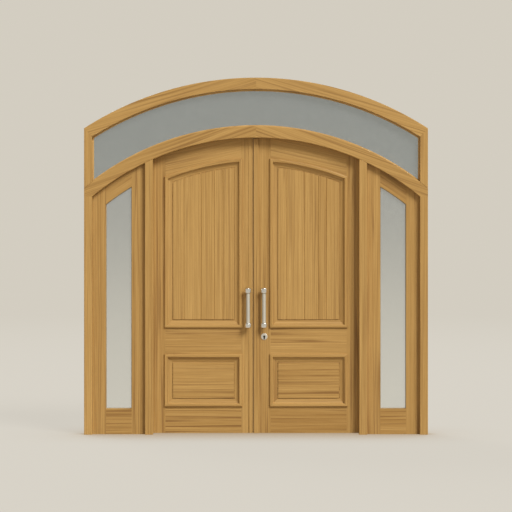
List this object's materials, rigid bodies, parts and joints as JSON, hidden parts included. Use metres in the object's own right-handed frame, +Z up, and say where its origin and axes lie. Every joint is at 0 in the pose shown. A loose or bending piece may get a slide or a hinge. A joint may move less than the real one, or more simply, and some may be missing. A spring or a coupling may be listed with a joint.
{
  "type": "arched double entrance door",
  "caption": "Arched wooden entrance door: panelled leaves hung in a frame with glazed sidelights and a curved transom light, with bar pull handles and a mortise lock.",
  "frame": {"origin": "middle of the doorway at floor level, halfway through the thickness of the leaves", "axes": "+X to the right seen from outside, +Y from outside to inside, +Z up"},
  "size_m": [2.668, 0.195, 2.77],
  "materials": {
    "frame_wood": "satin varnish, straight grain",
    "sash_wood": "satin varnish, straight grain",
    "bead_wood": "satin varnish",
    "leaf_wood": "satin varnish, straight grain",
    "panel_wood": "satin varnish, straight grain",
    "moulding_wood": "satin varnish",
    "glass": "satin, greyish",
    "hinge_steel": "brushed",
    "grip_steel": "satin",
    "post_steel": "polished",
    "lock_steel": "brushed",
    "lock_iron": "blackened",
    "lock_brass": "plain"
  },
  "bodies": {
    "frame": {"left_jamb": "frame_wood", "right_jamb": "frame_wood", "left_mullion": "frame_wood", "right_mullion": "frame_wood", "left_head_arch": "frame_wood", "right_head_arch": "frame_wood", "left_transom_post": "frame_wood", "right_transom_post": "frame_wood", "left_crown_arch": "frame_wood", "right_crown_arch": "frame_wood", "transom_glass": "glass", "transom_beads": "bead_wood", "left_sidelight_stiles": "sash_wood", "left_sidelight_rails": "sash_wood", "left_sidelight_glass": "glass", "left_sidelight_beads": "bead_wood", "right_sidelight_stiles": "sash_wood", "right_sidelight_rails": "sash_wood", "right_sidelight_glass": "glass", "right_sidelight_beads": "bead_wood", "frame_hinge_plates": "hinge_steel", "hinge_pins": "hinge_steel"},
    "left_leaf": {"left_hinge_stile": "leaf_wood", "left_meeting_stile": "leaf_wood", "left_top_rail": "leaf_wood", "left_mid_rail": "leaf_wood", "left_bottom_rail": "leaf_wood", "left_upper_panel": "panel_wood", "left_lower_panel": "panel_wood", "left_outer_mouldings": "moulding_wood", "left_inner_mouldings": "moulding_wood", "left_hinge_plates": "hinge_steel", "left_pull_bars": "grip_steel", "left_pull_posts": "post_steel", "strike_plate": "lock_steel", "flush_bolt_plate": "lock_steel"},
    "right_leaf": {"right_hinge_stile": "leaf_wood", "right_meeting_stile": "leaf_wood", "right_top_rail": "leaf_wood", "right_mid_rail": "leaf_wood", "right_bottom_rail": "leaf_wood", "right_upper_panel": "panel_wood", "right_lower_panel": "panel_wood", "right_outer_mouldings": "moulding_wood", "right_inner_mouldings": "moulding_wood", "right_hinge_plates": "hinge_steel", "right_pull_bars": "grip_steel", "right_pull_posts": "post_steel", "astragal": "leaf_wood", "lock_case": "lock_iron", "lock_forend": "lock_steel", "key_cylinder": "lock_iron", "lock_rosettes": "post_steel"},
    "flush_bolt": {"flush_bolt": "lock_steel"},
    "key_plug": {"key_plug": "lock_iron"},
    "lock_bolt": {"lock_bolt": "lock_brass"}
  },
  "joints": [
    {"name": "left_swing", "type": "hinge", "parent": "frame", "child": "left_leaf", "pos_m": [-0.8135, 0.0305, 0], "axis": [0, 0, 1], "range_deg": [0, 110]},
    {"name": "right_swing", "type": "hinge", "parent": "frame", "child": "right_leaf", "pos_m": [0.8135, 0.0305, 0], "axis": [0, 0, -1], "range_deg": [0, 110]},
    {"name": "key_turn", "type": "hinge", "parent": "right_leaf", "child": "key_plug", "pos_m": [0.064, 0, 0.758], "axis": [0, 1, 0], "range_deg": [0, 360]},
    {"name": "bolt_throw", "type": "slide", "parent": "right_leaf", "child": "lock_bolt", "axis": [-1, 0, 0], "range_m": [0, 0.02]},
    {"name": "flush_bolt_lift", "type": "slide", "parent": "left_leaf", "child": "flush_bolt", "axis": [0, 0, 1], "range_m": [0, 0.015]}
  ],
  "couplings": [
    {"joint": "key_turn", "follows": "bolt_throw", "rad_per_m": 314.16}
  ]
}
